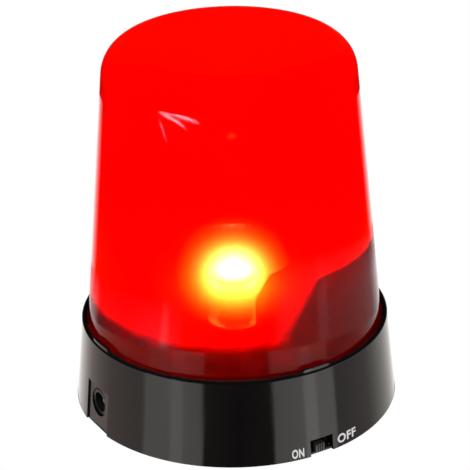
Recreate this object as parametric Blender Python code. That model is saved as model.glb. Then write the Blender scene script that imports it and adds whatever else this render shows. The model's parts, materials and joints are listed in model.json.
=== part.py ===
"""Rotating warning light: a red bayonet dome on a round black battery base.

The origin is on the turning axis at the surface the lamp stands on, with +Z up.
The switch faces -Y and the adaptor socket faces -X.
"""
import math

import bmesh
import bpy
from mathutils import Matrix, Vector

MM = 0.001
GAP = 0.3

# Base shell
SHELL_BOTTOM = 0.3
SHELL_TOP = 27.5
SHELL_BOTTOM_RADIUS = 50.0
SHELL_TOP_RADIUS = 47.3
SHELL_WALL = 2.2
RIM_FILLET = 0.9
RIM_INNER_RADIUS = 46.0
RIM_TAB_RISE = 0.7
RIM_TAB_HALF_ANGLE = 5.7
QUARTERS = (0, 90, 180, 270)

# Bayonet between the dome and the shell
LEDGE_INNER_RADIUS = 44.95
LEDGE_OUTER_RADIUS = 46.7
LEDGE_BOTTOM = 22.6
LEDGE_TOP = 24.2
LEDGE_HALF_ANGLE = 9.0
STOP_WIDTH = 1.2
TWIST_ANGLE = 20.0
LUG_HALF_ANGLE = 7.0
LUG_OUTER_RADIUS = 45.5
LUG_TOP = 22.2

# Dome
DOME_BOTTOM = 20.6
DOME_TOP = 118.2
DOME_WALL = 1.8
DOME_FOOT_RADIUS = 45.2
DOME_TAPER = 0.0946
DOME_FILLET = 10.0
CROWN_ANGLE = math.radians(11.5)
SKIRT_RADIUS = 44.6
FLANGE_RADIUS = 45.7
FLANGE_BOTTOM = 26.2
SIDE_START = 28.2

# Bottom cover, battery bay and door
COVER_RADIUS = 47.2
COVER_BOTTOM = 0.7
COVER_TOP = 2.8
BAY_X = 28.9
BAY_FRONT = -11.6
BAY_BACK = 32.8
BAY_WALL = 1.2
BAY_TOP = 17.2
DOOR_X = 27.2
DOOR_FRONT = -10.3
DOOR_HINGE_Y = 31.0
DOOR_BOTTOM = 0.9
DOOR_TOP = 2.5
HINGE_PIN_RADIUS = 0.6
HINGE_PIN_REACH = 1.1
HINGE_POCKET = 1.5
GRIP_RIBS = 4
GRIP_PITCH = 1.8
GRIP_RIB_WIDTH = 0.8
GRIP_HALF_LENGTH = 6.0
GRIP_FIRST_Y = -7.0
FINGER_NOTCH_RADIUS = 7.0
SWITCH_POCKET_LOW = (-7.6, -48.5, 1.3)
SWITCH_POCKET_HIGH = (7.6, -40.5, 4.0)
BOARD_REST_PINS = ((16.5, -16.5), (16.5, -26.0))
CELL_RADIUS = 7.1
CELL_LENGTH = 49.2
CELL_PITCH = 14.6
CELL_FIRST_Y = -4.0
CELL_HEIGHT = 10.1
CELL_RIM_RADIUS = 4.5
CELL_BUTTON_RADIUS = 2.8
CELL_BUTTON_RISE = 1.1
CONTACT_GAP = 0.4
CONTACT_THICKNESS = 0.5
CONTACT_HALF_WIDTH = 5.5
CONTACT_BOTTOM = 4.5
CONTACT_TOP = 16.4
SPRING_TURNS = 2.5
SPRING_WIRE = 0.35

# Columns that take the cover and deck screws
COLUMNS = ((36.5, 16.0), (-36.5, 16.0), (31.0, -24.0), (-31.0, -24.0))
COLUMN_RADIUS = 3.2
COLUMN_BOTTOM = 3.1
COLUMN_TOP = 18.1
PILOT_RADIUS = 1.5
COVER_SCREW_SINK = 2.9
DECK_SCREW_TIP = 12.0
COVER_SCREW_TIP = 9.0
FOOT_RADIUS = 3.8
FOOT_THICKNESS = 0.4
FEET = ((33.0, 26.0), (-33.0, 26.0), (20.0, -36.0), (-20.0, -36.0))

# Deck and light source
DECK_BOTTOM = 18.4
DECK_TOP = 20.0
DECK_RADIUS = 45.4
POST_RADIUS = 5.0
POST_BORE = 2.2
POST_TOP = 38.2
LED_BOARD_RADIUS = 7.0
LED_BOARD_TOP = 39.3
LED_RADIUS = 1.6
LED_HEIGHT = 0.35

# Drive
GEAR_MODULE = 0.8
WHEEL_TEETH = 55
PINION_TEETH = 10
GEAR_BOTTOM = 20.9
GEAR_TOP = 22.9
MOTOR_Y = -(WHEEL_TEETH + PINION_TEETH) * GEAR_MODULE / 2 - 0.1
MOTOR_RADIUS = 12.2
MOTOR_BOTTOM = 5.4
MOTOR_TOP = 18.1
MOTOR_BOSS_RADIUS = 3.0
MOTOR_BOSS_TOP = 19.8
MOTOR_BORE_BOTTOM = 13.5
MOTOR_CAP_RADIUS = 10.4
MOTOR_CAP_BOTTOM = 3.5
MOTOR_SCREW_X = 8.0
MOTOR_SCREW_TIP = 15.6
SHAFT_RADIUS = 0.8
SHAFT_BOTTOM = 14.0
SHAFT_TOP = 24.4
CLIP_RADIUS = 8.2
CLIP_BOTTOM = 23.2
CLIP_TOP = 24.0

# Reflector that turns round the light source
REFLECTOR_FACING = 200.0
REFLECTOR_WINDOW = 58.7
REFLECTOR_CORNER_ANGLE = 14.0
REFLECTOR_CORNER_HEIGHT = 39.6
REFLECTOR_INNER_RADIUS = 19.6
REFLECTOR_OUTER_RADIUS = 20.8
REFLECTOR_BOTTOM = 23.2
REFLECTOR_TOP = 46.6
REFLECTOR_SCREW_RADIUS = 17.4
REFLECTOR_SCREW_ANGLES = (100, 180, 260)
REFLECTOR_FOOT_RADIUS = 14.8
REFLECTOR_FOOT_TOP = 24.4
REFLECTOR_SCREW_HOLE = 1.2

# Adaptor socket
SOCKET_HEIGHT = 8.5
SOCKET_MOUTH_X = -47.9
SOCKET_PANEL_DEPTH = 0.95
SOCKET_PANEL_HALF_WIDTH = 6.5
SOCKET_PANEL_TOP = 14.0
SOCKET_BARREL_RADIUS = 4.1
SOCKET_BORE_RADIUS = 3.15
SOCKET_BORE_DEPTH = 11.0
SOCKET_BARREL_LENGTH = 3.0
SOCKET_BLOCK_LOW = (-45.1, -4.5, 3.6)
SOCKET_BLOCK_HIGH = (-34.0, 4.5, 13.4)
SOCKET_PIN_RADIUS = 1.0
SOCKET_PIN_LENGTH = 9.0
SOCKET_PIN_TIP_X = -46.6

# Slide switch
NOTCH_HALF_WIDTH = 3.9
NOTCH_TOP = 5.5
KNOB_REST_X = -1.3
KNOB_HALF_WIDTH = 1.6
KNOB_BOTTOM = 1.7
KNOB_TOP = 4.7
SWITCH_FRONT_Y = -46.3
SWITCH_BACK_Y = -41.0
SWITCH_HALF_WIDTH = 7.2
SWITCH_BOTTOM = 1.6
SWITCH_TOP = 6.6
SWITCH_SLOT_HALF_WIDTH = 2.7
SWITCH_SLOT_BOTTOM = 2.4
SWITCH_SLOT_TOP = 4.2
SWITCH_SLOT_BACK_Y = -44.3
KNOB_FRONT_Y = -50.8
KNOB_STEM_HALF_WIDTH = 1.0
KNOB_STEM_BOTTOM = 2.7
KNOB_STEM_TOP = 3.9

# Circuit board
BOARD_LOW = (14.5, -35.5, 5.0)
BOARD_HIGH = (27.0, -14.5, 6.2)
CHIP_LOW = (18.5, -23.5, 6.5)
CHIP_HIGH = (23.5, -18.5, 8.1)
CAPACITOR_PLACE = (18.5, -31.0)
CAPACITOR_RADIUS = 2.5
CAPACITOR_TOP = 13.5


def clear_scene():
    for item in list(bpy.data.objects):
        bpy.data.objects.remove(item, do_unlink=True)


def make_material(name, color, roughness, metallic=0.0, emission=0.0, alpha=1.0):
    material = bpy.data.materials.new(name)
    material.use_nodes = True
    shader = material.node_tree.nodes["Principled BSDF"]
    shader.inputs["Base Color"].default_value = (*color, 1.0)
    shader.inputs["Roughness"].default_value = roughness
    shader.inputs["Metallic"].default_value = metallic
    shader.inputs["Alpha"].default_value = alpha
    if emission:
        shader.inputs["Emission Color"].default_value = (*color, 1.0)
        shader.inputs["Emission Strength"].default_value = emission
    material.diffuse_color = (*color, alpha)
    return material


def add_object(name, shape, material=None, origin=(0.0, 0.0, 0.0), smooth=True):
    """Turn a bmesh in millimetres into an object in metres with its origin at a point."""
    centre = Vector(origin)
    bmesh.ops.translate(shape, verts=shape.verts, vec=-centre)
    bmesh.ops.scale(shape, verts=shape.verts, vec=(MM, MM, MM))
    bmesh.ops.recalc_face_normals(shape, faces=shape.faces)
    mesh = bpy.data.meshes.new(name)
    shape.to_mesh(mesh)
    shape.free()
    if smooth:
        mesh.shade_smooth()
        mesh.set_sharp_from_angle(angle=math.radians(35))
    item = bpy.data.objects.new(name, mesh)
    item.location = centre * MM
    bpy.context.scene.collection.objects.link(item)
    if material:
        mesh.materials.append(material)
    return item


def polar(radius, degrees, height=0.0):
    angle = math.radians(degrees)
    return (radius * math.cos(angle), radius * math.sin(angle), height)


def turned(outline, segments):
    """Turn a closed outline of (radius, height) points round Z; radius 0 closes on the axis."""
    shape = bmesh.new()
    rings = []
    for radius, height in outline:
        if radius == 0:
            rings.append([shape.verts.new((0, 0, height))])
        else:
            step = 360 / segments
            rings.append([shape.verts.new(polar(radius, k * step, height)) for k in range(segments)])
    for ring, above in zip(rings, rings[1:] + rings[:1]):
        for k in range(segments):
            corners = [ring[k % len(ring)], ring[(k + 1) % len(ring)]]
            corners += [above[(k + 1) % len(above)], above[k % len(above)]]
            corners = list(dict.fromkeys(corners))
            if len(corners) > 2:
                shape.faces.new(corners)
    return shape


def extruded(outline, bottom, top):
    """Stand a flat outline of (x, y) points up as a solid."""
    shape = bmesh.new()
    low = [shape.verts.new((x, y, bottom)) for x, y in outline]
    high = [shape.verts.new((x, y, top)) for x, y in outline]
    shape.faces.new(low)
    shape.faces.new(high)
    for k in range(len(outline)):
        after = (k + 1) % len(outline)
        shape.faces.new((low[k], low[after], high[after], high[k]))
    return shape


def box(low, high):
    outline = [(low[0], low[1]), (high[0], low[1]), (high[0], high[1]), (low[0], high[1])]
    return extruded(outline, low[2], high[2])


def arc_wall(inner, outer, start, end, bottom, top, steps=6):
    """A piece of a round wall between two radii and two angles in degrees."""
    angles = [start + (end - start) * k / steps for k in range(steps + 1)]
    outline = [polar(inner, angle)[:2] for angle in angles]
    outline += [polar(outer, angle)[:2] for angle in reversed(angles)]
    return extruded(outline, bottom, top)


def moved(shape, offset):
    bmesh.ops.translate(shape, verts=shape.verts, vec=offset)
    return shape


def laid_along_x(shape, offset):
    """Lay an upright shape down so that its +Z points along +X."""
    bmesh.ops.rotate(shape, verts=shape.verts, matrix=Matrix.Rotation(math.pi / 2, 3, "Y"))
    return moved(shape, offset)


def cylinder(radius, bottom, top, segments=24, bevel=0.0):
    """A round bar round Z, with chamfered ends where a bevel is given."""
    outline = [(radius, bottom), (radius, top)]
    if bevel:
        outline = [(radius - bevel, bottom), (radius, bottom + bevel), (radius, top - bevel),
                   (radius - bevel, top)]
    return turned([(0, bottom)] + outline + [(0, top)], segments)


def combine(item, tool_shape, operation):
    """Join a tool shape to an object, or cut it away, with a Boolean modifier."""
    tool = add_object(item.name + "_tool", tool_shape, smooth=False)
    tool.hide_render = True
    tool.display_type = "WIRE"
    modifier = item.modifiers.new(operation.title(), "BOOLEAN")
    modifier.operation = operation
    modifier.solver = "EXACT"
    modifier.object = tool


def join(item, *shapes):
    for shape in shapes:
        combine(item, shape, "UNION")


def cut(item, *shapes):
    for shape in shapes:
        combine(item, shape, "DIFFERENCE")


def bevelled_box(low, high, width):
    shape = box(low, high)
    bmesh.ops.bevel(shape, geom=list(shape.edges), offset=width, segments=2, profile=0.5,
                    affect="EDGES")
    return shape


def screw(name, x, y, head_bottom, head_top, tip, head_radius, material, shank_radius=1.2):
    """A headed screw; the tip may lie above or below its head."""
    inner_face, outer_face = head_bottom, head_top
    if tip > head_top:
        inner_face, outer_face = head_top, head_bottom
    slot_floor = outer_face + (inner_face - outer_face) * 0.5
    slot_radius = head_radius * 0.45
    outline = [(0, tip), (shank_radius, tip), (shank_radius, inner_face), (head_radius, inner_face),
               (head_radius, outer_face), (slot_radius, outer_face), (slot_radius * 0.8, slot_floor),
               (0, slot_floor)]
    add_object(name, moved(turned(outline, 10), (x, y, 0)), material, (x, y, head_bottom))


def shell_radius(height):
    rise = (height - SHELL_BOTTOM) / (SHELL_TOP - SHELL_BOTTOM)
    return SHELL_BOTTOM_RADIUS + (SHELL_TOP_RADIUS - SHELL_BOTTOM_RADIUS) * rise


def shell_outline():
    outline = [(SHELL_BOTTOM_RADIUS, SHELL_BOTTOM)]
    for angle in (0, 30, 60, 90):
        x, z, _ = polar(RIM_FILLET, angle)
        outline.append((SHELL_TOP_RADIUS - RIM_FILLET + x, SHELL_TOP - RIM_FILLET + z))
    outline.append((RIM_INNER_RADIUS, SHELL_TOP))
    outline.append((RIM_INNER_RADIUS, DECK_TOP))
    outline.append((shell_radius(SHELL_BOTTOM) - SHELL_WALL, SHELL_BOTTOM))
    return outline


def column_with_web(x, y):
    """A screw column in one outline with the thin web that ties it to the shell wall."""
    distance = math.hypot(x, y)
    heading = math.degrees(math.atan2(y, x))
    half_web = 0.8
    web_end = shell_radius(COLUMN_TOP) - 0.4
    mouth = math.degrees(math.asin(half_web / COLUMN_RADIUS))
    outline = [(web_end, -half_web), (web_end, half_web)]
    steps = 16
    for k in range(steps + 1):
        px, py, _ = polar(COLUMN_RADIUS, mouth + (360 - 2 * mouth) * k / steps)
        outline.append((distance + px, py))
    column = extruded(outline, COLUMN_BOTTOM, COLUMN_TOP)
    turn = Matrix.Rotation(math.radians(heading), 3, "Z")
    bmesh.ops.rotate(column, verts=column.verts, matrix=turn)
    return column


def socket_panel():
    """The flat recess round the socket, leaning with the wall it is cut from."""
    low_x = SOCKET_PANEL_DEPTH - shell_radius(0)
    high_x = SOCKET_PANEL_DEPTH - shell_radius(SOCKET_PANEL_TOP)
    slab = box((-55, -SOCKET_PANEL_HALF_WIDTH, 0), (low_x, SOCKET_PANEL_HALF_WIDTH, SOCKET_PANEL_TOP))
    for vert in slab.verts:
        if vert.co.z > 0 and vert.co.x > -50:
            vert.co.x = high_x
    return slab


def base_housing(material):
    shell = add_object("base_housing", turned(shell_outline(), 72), material)
    for x, y in COLUMNS:
        join(shell, column_with_web(x, y))
    for angle in QUARTERS:
        tab = (angle - RIM_TAB_HALF_ANGLE, angle + RIM_TAB_HALF_ANGLE)
        join(shell, arc_wall(RIM_INNER_RADIUS + 0.15, SHELL_TOP_RADIUS - 0.45, *tab, 26.4,
                             SHELL_TOP + RIM_TAB_RISE))
        left = angle - LEDGE_HALF_ANGLE
        right = angle + LUG_HALF_ANGLE + TWIST_ANGLE + 0.6
        radii = (LEDGE_INNER_RADIUS, LEDGE_OUTER_RADIUS)
        join(shell, arc_wall(*radii, left + STOP_WIDTH / 2, angle + LEDGE_HALF_ANGLE,
                             LEDGE_BOTTOM, LEDGE_TOP))
        for start in (left, right):
            join(shell, arc_wall(LEDGE_INNER_RADIUS + 0.1, LEDGE_OUTER_RADIUS + 0.1, start,
                                 start + STOP_WIDTH, DOME_BOTTOM, LEDGE_TOP + 0.1, 2))
    cut(shell, socket_panel())
    hole = cylinder(SOCKET_BARREL_RADIUS + GAP, -4, 4, 32)
    cut(shell, laid_along_x(hole, (SOCKET_MOUTH_X, 0, SOCKET_HEIGHT)))
    cut(shell, box((-NOTCH_HALF_WIDTH, -52, -1), (NOTCH_HALF_WIDTH, -44, NOTCH_TOP)))
    for x, y in COLUMNS:
        cut(shell, moved(cylinder(PILOT_RADIUS, 2, 20, 12), (x, y, 0)))


def base_cover(material):
    cover = add_object("base_cover", cylinder(COVER_RADIUS, COVER_BOTTOM, COVER_TOP, 72), material)
    tongue = box((-NOTCH_HALF_WIDTH + GAP, -49.4, COVER_BOTTOM), (NOTCH_HALF_WIDTH - GAP, -45.0, 1.3))
    outer_x = BAY_X + BAY_WALL
    bay = box((-outer_x, BAY_FRONT - BAY_WALL, 2.0), (outer_x, BAY_BACK + BAY_WALL, BAY_TOP))
    join(cover, tongue, bay)
    cut(cover, box((-BAY_X, BAY_FRONT, COVER_TOP), (BAY_X, BAY_BACK, 20)))
    hinge_y = (DOOR_HINGE_Y - HINGE_PIN_REACH, DOOR_HINGE_Y + HINGE_PIN_REACH)
    cut(cover, box((-DOOR_X - GAP, DOOR_FRONT - GAP, 0), (DOOR_X + GAP, hinge_y[1], 4)))
    for side in (-1, 1):
        pocket_x = sorted((side * (DOOR_X - 1), side * (DOOR_X + HINGE_POCKET)))
        cut(cover, box((pocket_x[0], hinge_y[0], 0.95), (pocket_x[1], hinge_y[1], 4)))
    cut(cover, box(SWITCH_POCKET_LOW, SWITCH_POCKET_HIGH))
    cut(cover, moved(cylinder(FINGER_NOTCH_RADIUS, 0.2, 1.3, 24), (0, DOOR_FRONT, 0)))
    for x, y in COLUMNS:
        cut(cover, moved(cylinder(COVER_SCREW_SINK, 0, 2.0, 20), (x, y, 0)))
        cut(cover, moved(cylinder(PILOT_RADIUS, 0, 4, 12), (x, y, 0)))
    for x, y in BOARD_REST_PINS:
        join(cover, moved(cylinder(1.1, 2.5, BOARD_LOW[2] - GAP, 10), (x, y, 0)))


def battery_door(material):
    axis = (0, DOOR_HINGE_Y, (DOOR_BOTTOM + DOOR_TOP) / 2)
    half = (DOOR_TOP - DOOR_BOTTOM) / 2
    profile = [(DOOR_FRONT, DOOR_BOTTOM), (DOOR_HINGE_Y, DOOR_BOTTOM)]
    for angle in (-60, -30, 0, 30, 60):
        y, z, _ = polar(half, angle)
        profile.append((axis[1] + y, axis[2] + z))
    profile += [(DOOR_HINGE_Y, DOOR_TOP), (DOOR_FRONT, DOOR_TOP)]
    plate = bmesh.new()
    sides = [[plate.verts.new((x, y, z)) for y, z in profile] for x in (-DOOR_X, DOOR_X)]
    plate.faces.new(sides[0])
    plate.faces.new(sides[1])
    for k in range(len(profile)):
        after = (k + 1) % len(profile)
        plate.faces.new((sides[0][k], sides[0][after], sides[1][after], sides[1][k]))
    door = add_object("battery_door", plate, material, axis)
    for side in (-1, 1):
        pin = cylinder(HINGE_PIN_RADIUS, -HINGE_PIN_REACH, HINGE_PIN_REACH, 12)
        join(door, laid_along_x(pin, (side * DOOR_X, axis[1], axis[2])))
    for k in range(GRIP_RIBS):
        y = GRIP_FIRST_Y + GRIP_PITCH * k
        join(door, box((-GRIP_HALF_LENGTH, y, DOOR_BOTTOM - 0.25),
                       (GRIP_HALF_LENGTH, y + GRIP_RIB_WIDTH, DOOR_BOTTOM + 0.3)))


def batteries(wrap, plates):
    for k in range(3):
        y = CELL_FIRST_Y + k * CELL_PITCH
        flip = -1 if k == 1 else 1
        half = CELL_LENGTH / 2
        shoulder = half - CELL_BUTTON_RISE
        outline = [(0, -half), (CELL_RIM_RADIUS, -half), (CELL_RIM_RADIUS, -half + 0.3),
                   (CELL_RADIUS - 0.5, -half + 0.3), (CELL_RADIUS, -half + 0.8),
                   (CELL_RADIUS, shoulder - 0.5), (CELL_RADIUS - 0.5, shoulder),
                   (CELL_BUTTON_RADIUS, shoulder), (CELL_BUTTON_RADIUS, half), (0, half)]
        cell = turned([(radius, z * flip) for radius, z in outline], 18)
        add_object(f"battery_{k + 1}", laid_along_x(cell, (0, y, CELL_HEIGHT)), wrap,
                   (0, y, CELL_HEIGHT))
        near = half + CONTACT_GAP
        plate_x = sorted((flip * near, flip * (near + CONTACT_THICKNESS)))
        plate = box((plate_x[0], y - CONTACT_HALF_WIDTH, CONTACT_BOTTOM),
                    (plate_x[1], y + CONTACT_HALF_WIDTH, CONTACT_TOP))
        add_object(f"contact_plate_{k + 1}", plate, plates, smooth=False)
        contact_spring(f"contact_spring_{k + 1}", y, -flip, half, plates)


def contact_spring(name, y, side, half, material):
    """A conical coil that presses on the flat end of a cell, with its end on the bay wall."""
    length = BAY_X - half - 0.9
    steps = 18
    curve = bpy.data.curves.new(name, "CURVE")
    curve.dimensions = "3D"
    curve.bevel_depth = SPRING_WIRE * MM
    curve.bevel_resolution = 0
    curve.use_fill_caps = True
    spline = curve.splines.new("POLY")
    spline.points.add(steps)
    for k in range(steps + 1):
        part = k / steps
        angle = 2 * math.pi * SPRING_TURNS * part
        radius = 2.4 + 2.0 * part
        x = side * (half + 0.75 + (length - SPRING_WIRE * 2) * part)
        point = Vector((x, y + radius * math.cos(angle), CELL_HEIGHT + radius * math.sin(angle)))
        spline.points[k].co = (*(point * MM), 1)
    item = bpy.data.objects.new(name, curve)
    bpy.context.scene.collection.objects.link(item)
    curve.materials.append(material)


def wire(name, route, material, radius=0.35):
    """An insulated wire as a tube along a smooth curve through its route points."""
    points = [Vector(point) for point in route]
    ends = [points[0]] + points + [points[-1]]
    smooth = []
    for a, b, c, d in zip(ends, ends[1:], ends[2:], ends[3:]):
        for k in range(2):
            t = k / 2
            smooth.append(0.5 * (2 * b + (c - a) * t + (2 * a - 5 * b + 4 * c - d) * t * t
                                 + (3 * b - a - 3 * c + d) * t ** 3))
    smooth.append(points[-1])
    curve = bpy.data.curves.new(name, "CURVE")
    curve.dimensions = "3D"
    curve.bevel_depth = radius * MM
    curve.bevel_resolution = 1
    curve.use_fill_caps = True
    spline = curve.splines.new("POLY")
    spline.points.add(len(smooth) - 1)
    for place, point in zip(spline.points, smooth):
        place.co = (*(point * MM), 1)
    item = bpy.data.objects.new(name, curve)
    bpy.context.scene.collection.objects.link(item)
    curve.materials.append(material)


def socket(material, metal):
    """The adaptor socket: a block, a round barrel with a bore, and a centre pin."""
    block = add_object("adaptor_socket", box(SOCKET_BLOCK_LOW, SOCKET_BLOCK_HIGH), material)
    barrel = cylinder(SOCKET_BARREL_RADIUS, 0, SOCKET_BARREL_LENGTH, 32)
    join(block, laid_along_x(barrel, (SOCKET_MOUTH_X, 0, SOCKET_HEIGHT)))
    bore = cylinder(SOCKET_BORE_RADIUS, -1, SOCKET_BORE_DEPTH, 28)
    cut(block, laid_along_x(bore, (SOCKET_MOUTH_X, 0, SOCKET_HEIGHT)))
    pin = cylinder(SOCKET_PIN_RADIUS, 0, SOCKET_PIN_LENGTH, 16, 0.25)
    add_object("socket_pin", laid_along_x(pin, (SOCKET_PIN_TIP_X, 0, SOCKET_HEIGHT)), metal)


def slide_switch(body_material, knob_material):
    case = box((-SWITCH_HALF_WIDTH, SWITCH_FRONT_Y, SWITCH_BOTTOM),
               (SWITCH_HALF_WIDTH, SWITCH_BACK_Y, SWITCH_TOP))
    body = add_object("switch_body", case, body_material)
    cut(body, box((-SWITCH_SLOT_HALF_WIDTH, SWITCH_FRONT_Y - 1, SWITCH_SLOT_BOTTOM),
                  (SWITCH_SLOT_HALF_WIDTH, SWITCH_SLOT_BACK_Y, SWITCH_SLOT_TOP)))
    low = (KNOB_REST_X - KNOB_HALF_WIDTH, KNOB_FRONT_Y, KNOB_BOTTOM)
    high = (KNOB_REST_X + KNOB_HALF_WIDTH, SWITCH_FRONT_Y - GAP, KNOB_TOP)
    knob = add_object("switch_knob", bevelled_box(low, high, 0.25), knob_material,
                      (KNOB_REST_X, SWITCH_FRONT_Y, 3.3))
    join(knob, box((KNOB_REST_X - KNOB_STEM_HALF_WIDTH, SWITCH_FRONT_Y - 1.2, KNOB_STEM_BOTTOM),
                   (KNOB_REST_X + KNOB_STEM_HALF_WIDTH, SWITCH_SLOT_BACK_Y - GAP, KNOB_STEM_TOP)))


def deck(material):
    outline = [(POST_BORE, DECK_BOTTOM), (DECK_RADIUS, DECK_BOTTOM), (DECK_RADIUS, DECK_TOP),
               (POST_RADIUS + 1.2, DECK_TOP), (POST_RADIUS, DECK_TOP + 0.6), (POST_RADIUS, POST_TOP),
               (POST_BORE, POST_TOP)]
    plate = add_object("deck_plate", turned(outline, 50), material)
    cut(plate, moved(cylinder(3.6, 17, 21, 24), (0, MOTOR_Y, 0)))
    for side in (-1, 1):
        cut(plate, moved(cylinder(1.4, 17, 21, 12), (side * MOTOR_SCREW_X, MOTOR_Y, 0)))
    for x, y in COLUMNS:
        cut(plate, moved(cylinder(PILOT_RADIUS, 17, 21, 12), (x, y, 0)))


def led(board_material, led_material):
    add_object("led_board", cylinder(LED_BOARD_RADIUS, POST_TOP + GAP, LED_BOARD_TOP, 32),
               board_material)
    add_object("led", moved(cylinder(LED_RADIUS, 0, LED_HEIGHT, 24, 0.1),
                            (0, 0, LED_BOARD_TOP + GAP)), led_material)


def gear_outline(teeth, first_tooth):
    """Straight-sided teeth with ample backlash; angles in degrees."""
    pitch_radius = teeth * GEAR_MODULE / 2
    root = pitch_radius - 0.95 * GEAR_MODULE
    tip = pitch_radius + 0.7 * GEAR_MODULE
    pitch = 360 / teeth
    outline = []
    for k in range(teeth):
        middle = first_tooth + k * pitch
        corners = ((root, -0.27), (tip, -0.11), (tip, 0.11), (root, 0.27))
        outline += [polar(radius, middle + part * pitch)[:2] for radius, part in corners]
    return outline


def drive(gear_material, metal, can_material, cap_material):
    wheel_start = 270 + 180 / WHEEL_TEETH
    wheel = add_object("turntable_gear",
                       extruded(gear_outline(WHEEL_TEETH, wheel_start), GEAR_BOTTOM, GEAR_TOP),
                       gear_material)
    cut(wheel, cylinder(POST_RADIUS + GAP, 20, 24, 48))
    for angle in REFLECTOR_SCREW_ANGLES:
        place = polar(REFLECTOR_SCREW_RADIUS, REFLECTOR_FACING + angle)
        cut(wheel, moved(cylinder(REFLECTOR_SCREW_HOLE, 20, 24, 12), place))
    add_object("turntable_clip", arc_wall(POST_RADIUS + GAP, CLIP_RADIUS, 110, 410,
                                          CLIP_BOTTOM, CLIP_TOP, 24), metal)

    motor_axis = (0, MOTOR_Y, 0)
    pinion_shape = moved(extruded(gear_outline(PINION_TEETH, 90), GEAR_BOTTOM, GEAR_TOP + 0.6),
                         motor_axis)
    pinion = add_object("motor_pinion", pinion_shape, gear_material, motor_axis)
    cut(pinion, moved(cylinder(SHAFT_RADIUS + 0.2, 20, 25, 16), motor_axis))
    shaft = moved(cylinder(SHAFT_RADIUS, SHAFT_BOTTOM, SHAFT_TOP, 16, 0.15), motor_axis)
    add_object("motor_shaft", shaft, metal, motor_axis)
    can = [(0, MOTOR_BOTTOM), (MOTOR_RADIUS - 0.5, MOTOR_BOTTOM), (MOTOR_RADIUS, MOTOR_BOTTOM + 0.5),
           (MOTOR_RADIUS, MOTOR_TOP - 0.8), (MOTOR_RADIUS - 0.8, MOTOR_TOP),
           (MOTOR_BOSS_RADIUS, MOTOR_TOP), (MOTOR_BOSS_RADIUS, MOTOR_BOSS_TOP),
           (SHAFT_RADIUS + GAP, MOTOR_BOSS_TOP), (SHAFT_RADIUS + GAP, MOTOR_BORE_BOTTOM),
           (0, MOTOR_BORE_BOTTOM)]
    body = add_object("motor_can", moved(turned(can, 36), motor_axis), can_material)
    for side in (-1, 1):
        cut(body, moved(cylinder(1.3, MOTOR_SCREW_TIP - 0.6, 19, 12), (side * MOTOR_SCREW_X, MOTOR_Y, 0)))
    cap = cylinder(MOTOR_CAP_RADIUS, MOTOR_CAP_BOTTOM, MOTOR_BOTTOM - GAP, 32, 0.3)
    add_object("motor_end_cap", moved(cap, motor_axis), cap_material)
    for number, side in enumerate((-1, 1), 1):
        screw(f"motor_screw_{number}", side * MOTOR_SCREW_X, MOTOR_Y, DECK_TOP + GAP, 21.4,
              MOTOR_SCREW_TIP, 2.0, metal, 1.0)


def reflector_wall(start, end, steps):
    """A round wall whose upper corners slope down to its open side."""
    shape = bmesh.new()
    columns = []
    for k in range(steps + 1):
        angle = start + (end - start) * k / steps
        inset = min(angle - start, end - angle) / REFLECTOR_CORNER_ANGLE
        slope = REFLECTOR_TOP - REFLECTOR_CORNER_HEIGHT
        top = REFLECTOR_TOP - slope * max(0.0, 1.0 - inset)
        places = ((REFLECTOR_INNER_RADIUS, REFLECTOR_BOTTOM), (REFLECTOR_OUTER_RADIUS, REFLECTOR_BOTTOM),
                  (REFLECTOR_OUTER_RADIUS, top), (REFLECTOR_INNER_RADIUS, top))
        columns.append([shape.verts.new(polar(radius, angle, z)) for radius, z in places])
    for near, far in zip(columns, columns[1:]):
        for k in range(4):
            after = (k + 1) % 4
            shape.faces.new((near[k], near[after], far[after], far[k]))
    shape.faces.new(columns[0])
    shape.faces.new(columns[-1])
    return shape


def reflector(mirror, metal):
    start = REFLECTOR_FACING + REFLECTOR_WINDOW
    end = REFLECTOR_FACING + 360 - REFLECTOR_WINDOW
    wall = add_object("reflector", reflector_wall(start, end, 34), mirror)
    join(wall, arc_wall(REFLECTOR_FOOT_RADIUS, REFLECTOR_OUTER_RADIUS - 0.3, start + 2, end - 2,
                        REFLECTOR_BOTTOM + 0.05, REFLECTOR_FOOT_TOP, 32))
    for number, angle in enumerate(REFLECTOR_SCREW_ANGLES, 1):
        x, y, _ = polar(REFLECTOR_SCREW_RADIUS, REFLECTOR_FACING + angle)
        cut(wall, moved(cylinder(REFLECTOR_SCREW_HOLE, 22, 26, 12), (x, y, 0)))
        head = REFLECTOR_FOOT_TOP + GAP
        screw(f"reflector_screw_{number}", x, y, head, head + 1, 21.3, 1.8, metal, 0.85)


def circuit(board_material, part_material, can_material):
    add_object("circuit_board", box(BOARD_LOW, BOARD_HIGH), board_material, smooth=False)
    add_object("driver_chip", box(CHIP_LOW, CHIP_HIGH), part_material, smooth=False)
    can = cylinder(CAPACITOR_RADIUS, BOARD_HIGH[2] + GAP, CAPACITOR_TOP, 20, 0.4)
    add_object("capacitor", moved(can, (*CAPACITOR_PLACE, 0)), can_material)


def dome_side_radius(height, offset):
    return DOME_FOOT_RADIUS - offset - DOME_TAPER * (height - SHELL_TOP)


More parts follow.
